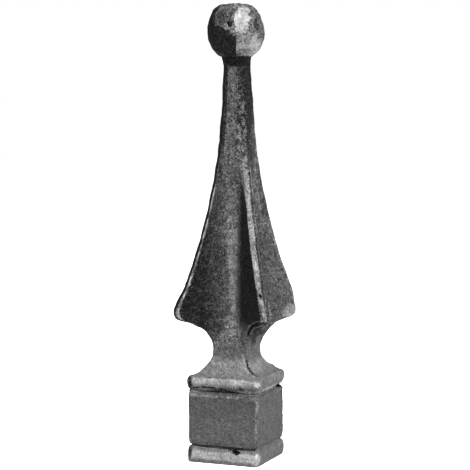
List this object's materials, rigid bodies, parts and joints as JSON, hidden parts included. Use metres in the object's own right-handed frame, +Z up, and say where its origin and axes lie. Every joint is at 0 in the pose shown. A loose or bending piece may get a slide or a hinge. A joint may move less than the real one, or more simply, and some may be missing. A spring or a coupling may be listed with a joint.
{
  "type": "fence finial",
  "caption": "Cast fence finial: banded square base, hollowed neck, corner wings sweeping up into a slim shaft under a ball.",
  "frame": {"origin": "middle of the flat underside of the square base", "axes": "+Z up along the shaft, +X and +Y square to two faces of the base, the wings on the diagonals between them"},
  "size_m": [0.0324, 0.0324, 0.1518],
  "materials": {
    "cast_iron": "raw sand-cast iron, dark and grainy, worn brighter on the edges, the bands and the ball"
  },
  "bodies": {
    "root": {"finial": "cast_iron"}
  },
  "joints": []
}
